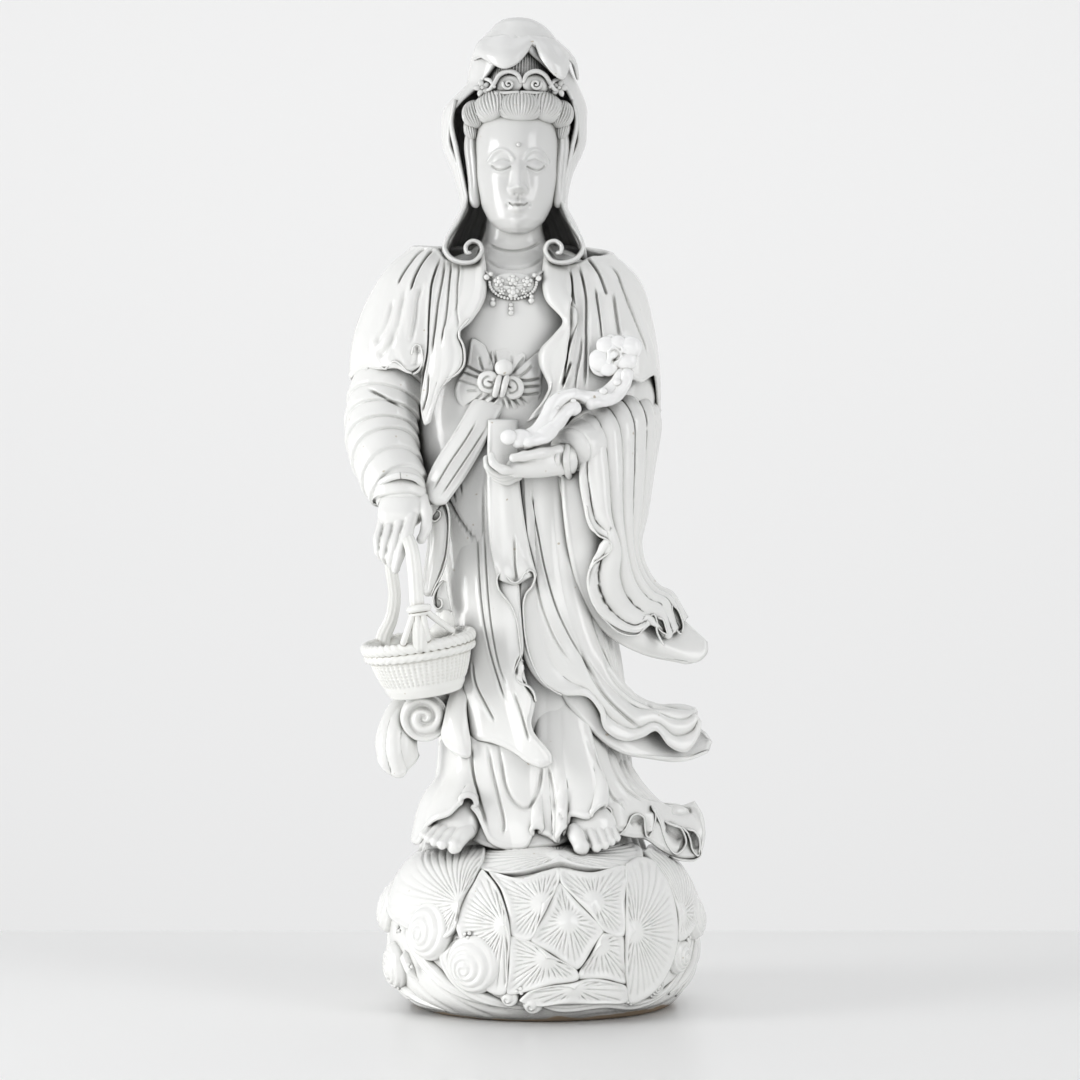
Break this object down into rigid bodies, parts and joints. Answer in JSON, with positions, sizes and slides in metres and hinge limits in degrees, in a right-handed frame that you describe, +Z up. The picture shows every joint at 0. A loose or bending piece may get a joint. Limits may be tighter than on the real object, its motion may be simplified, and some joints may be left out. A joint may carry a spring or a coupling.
{
  "type": "guanyin figure",
  "caption": "Standing robed figure in white glazed porcelain, with a veil, a small basket and a sceptre, made in one with a round mound of leaves and waves; stands on its flat underside.",
  "frame": {"origin": "middle of the mound's round, flat underside, on the surface that the figure stands on", "axes": "+Z up through the standing figure, -Y out of its front, +X to a viewer's right who faces it"},
  "size_m": [0.2294, 0.1927, 0.61],
  "materials": {
    "porcelain": "clear white glaze, glossy",
    "basket_porcelain": "clear white glaze, glossy",
    "sceptre_porcelain": "clear white glaze, very glossy"
  },
  "bodies": {
    "root": {"guanyin_figure": "porcelain", "basket": "basket_porcelain", "ruyi_sceptre": "sceptre_porcelain"}
  },
  "joints": []
}
